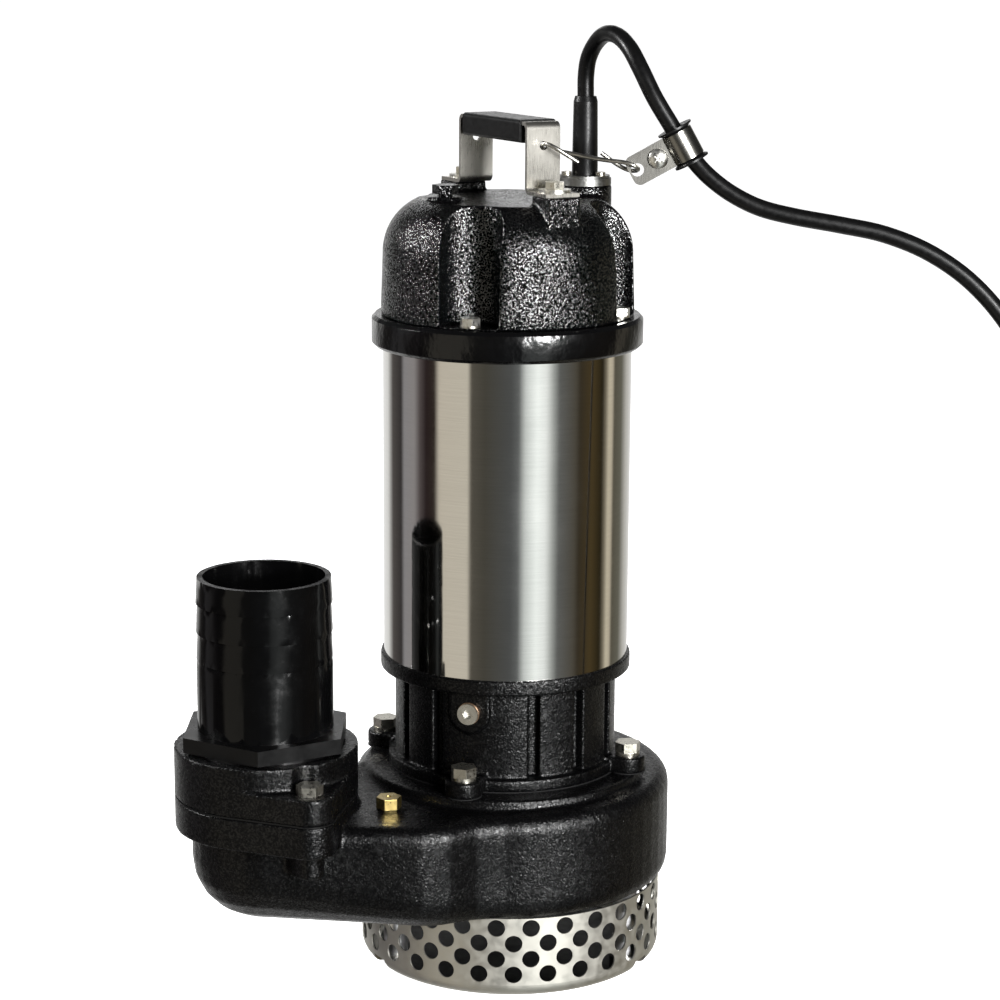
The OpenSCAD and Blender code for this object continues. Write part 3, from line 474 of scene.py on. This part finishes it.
# ---------------------------------------------------------------- hook
# The bent wire's points in millimetres, from its free end round the handle's hole to the clip's
WIRE_R = 1.2
HOOK = [(38, -41, 468.6), (31, -42.2, 473), (25, -42, 476.6), (21, -39.5, 478.2), (19, -36, 477.6),
        (18, -32.5, 476.4), (18, -29, 475.2), (20.5, -26, 474.2), (26, -24.8, 473.4), (33, -26.6, 472.4),
        (40, -30, 471.2), (48, -34, 470), (56, -37.6, 469.2), (63, -40.2, 468.6), (68, -41.2, 467.2),
        (70.6, -39.4, 465.4), (70.9, -36.4, 464.2), (69.6, -33.2, 463.4), (66, -31, 463.6),
        (60, -30, 466.4), (51, -30, 472.8)]
hook = curve_piece("hook_wire", smooth_line(HOOK), WIRE_R, "wire")
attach(hook, "hook")
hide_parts("s_hook")


# ---------------------------------------------------------------- studio
LAMP_TARGET = (0, 0, 0.3)
FLOOR_R = 30.0
SEEN_WHITE = 1.5
ROOM_GREY = 0.06

# Each lamp's azimuth from the camera towards +X, elevation, distance, size and power
LAMPS = {"key": (28, 20, 2.0, (0.45, 0.55), 54), "band": (27, 5, 2.0, (0.55, 0.2), 66),
         "left": (-92, 28, 2.0, (0.35, 0.4), 50), "back": (180, 22, 2.4, (1.8, 0.5), 6)}

# Panels standing round the object at camera height: azimuth from the camera towards +X, then colour
PANELS = [(-180, (1.0, 1.0, 1.0)), (-145, (0.9, 0.9, 0.88)), (-132, (0.11, 0.10, 0.095)),
          (-115, (0.05, 0.045, 0.045)), (-110, (0.34, 0.33, 0.34)), (-95, (0.35, 0.33, 0.33)),
          (-88, (0.12, 0.10, 0.10)), (-80, (0.03, 0.02, 0.02)), (-70, (0.04, 0.03, 0.025)),
          (-65, (0.73, 0.67, 0.56)), (-36, (0.74, 0.69, 0.58)), (-33, (0.12, 0.11, 0.09)),
          (-20, (0.085, 0.08, 0.065)), (4, (0.10, 0.105, 0.105)), (11, (0.16, 0.17, 0.17)),
          (17, (0.80, 0.85, 0.83)), (28, (1.30, 1.38, 1.35)), (36, (1.15, 1.2, 1.18)),
          (43, (0.50, 0.53, 0.51)), (49, (0.15, 0.155, 0.15)), (66, (0.10, 0.09, 0.07)),
          (71, (0.05, 0.04, 0.025)), (86, (0.085, 0.06, 0.025)), (99, (0.025, 0.02, 0.01)),
          (104, (0.25, 0.22, 0.16)), (109, (0.75, 0.68, 0.52)), (114, (0.65, 0.58, 0.45)),
          (118, (0.13, 0.12, 0.09)), (132, (0.17, 0.165, 0.13)), (145, (0.6, 0.59, 0.55)),
          (180, (1.0, 1.0, 1.0))]
# How high a reflection has to point for the panels to begin fading, and to have faded
PANEL_TOP = (0.05, 0.3)


def make_floor():
    """A white floor that the eye sees and reflections don't."""
    mesh = bpy.data.meshes.new("floor")
    bm = bmesh.new()
    bmesh.ops.create_circle(bm, cap_ends=True, segments=64, radius=FLOOR_R)
    bm.to_mesh(mesh)
    bm.free()
    floor = bpy.data.objects.new("floor", mesh)
    scene.collection.objects.link(floor)
    white = Shader("floor_white").finish(Base_Color=rgb(0.9, 0.9, 0.9), Roughness=0.9,
                                         Emission_Color=rgb(1, 1, 1), Emission_Strength=1.0)
    mesh.materials.append(white)
    floor.visible_glossy = False
    floor.visible_diffuse = False


def fill_ramp(ramp):
    """The panels as the stops of a ramp over one turn."""
    for i, (angle, colour) in enumerate(PANELS):
        stop = (angle + 180) / 360
        element = ramp.elements[0] if i == 0 else ramp.elements.new(stop)
        element.position = stop
        element.color = rgb(*colour)
    ramp.elements.remove(ramp.elements[-1])


def make_world():
    """White to the eye; in reflections, the panels near the horizon and a dim room above."""
    world = bpy.data.worlds.new("studio")
    scene.world = world
    world.use_nodes = True
    tree = world.node_tree
    new, link = tree.nodes.new, tree.links.new
    axes = new("ShaderNodeSeparateXYZ")
    link(new("ShaderNodeTexCoord").outputs["Generated"], axes.inputs[0])
    back = new("ShaderNodeMath")
    back.operation = "MULTIPLY"
    back.inputs[1].default_value = -1.0
    link(axes.outputs["Y"], back.inputs[0])
    azimuth = new("ShaderNodeMath")
    azimuth.operation = "ARCTAN2"
    link(axes.outputs["X"], azimuth.inputs[0])
    link(back.outputs[0], azimuth.inputs[1])
    turn = new("ShaderNodeMapRange")
    turn.inputs["From Min"].default_value = -math.pi
    turn.inputs["From Max"].default_value = math.pi
    link(azimuth.outputs[0], turn.inputs["Value"])
    panels = new("ShaderNodeValToRGB")
    fill_ramp(panels.color_ramp)
    link(turn.outputs["Result"], panels.inputs["Fac"])
    above = new("ShaderNodeMapRange")
    above.interpolation_type = "SMOOTHSTEP"
    above.inputs["From Min"].default_value = PANEL_TOP[0]
    above.inputs["From Max"].default_value = PANEL_TOP[1]
    link(axes.outputs["Z"], above.inputs["Value"])
    room = new("ShaderNodeMix")
    room.data_type = "RGBA"
    link(above.outputs["Result"], room.inputs[0])
    link(panels.outputs["Color"], room.inputs[6])
    room.inputs[7].default_value = rgb(ROOM_GREY, ROOM_GREY, ROOM_GREY)
    reflected = tree.nodes["Background"]
    link(room.outputs[2], reflected.inputs["Color"])
    seen = new("ShaderNodeBackground")
    seen.inputs["Color"].default_value = rgb(1, 1, 1)
    seen.inputs["Strength"].default_value = SEEN_WHITE
    join = new("ShaderNodeMixShader")
    link(new("ShaderNodeLightPath").outputs["Is Camera Ray"], join.inputs[0])
    link(reflected.outputs[0], join.inputs[1])
    link(seen.outputs[0], join.inputs[2])
    link(join.outputs[0], tree.nodes["World Output"].inputs[0])


def around(azimuth, elevation, distance):
    """A place seen from the lamps' target at an azimuth from the camera towards +X and an elevation."""
    a, e = math.radians(azimuth), math.radians(elevation)
    x, y, z = LAMP_TARGET
    return Vector((x + distance * math.cos(e) * math.sin(a), y - distance * math.cos(e) * math.cos(a),
                   z + distance * math.sin(e)))


def make_lamp(name, azimuth, elevation, distance, size, power):
    light = bpy.data.lights.new(name, "AREA")
    light.shape = "RECTANGLE"
    light.size, light.size_y = size
    light.energy = power
    obj = bpy.data.objects.new(name, light)
    obj.location = around(azimuth, elevation, distance)
    aim = Vector(LAMP_TARGET) - obj.location
    obj.rotation_euler = aim.to_track_quat("-Z", "Y").to_euler()
    scene.collection.objects.link(obj)


make_floor()
make_world()
for name, settings in LAMPS.items():
    make_lamp(name, *settings)
scene.view_settings.view_transform = "Standard"
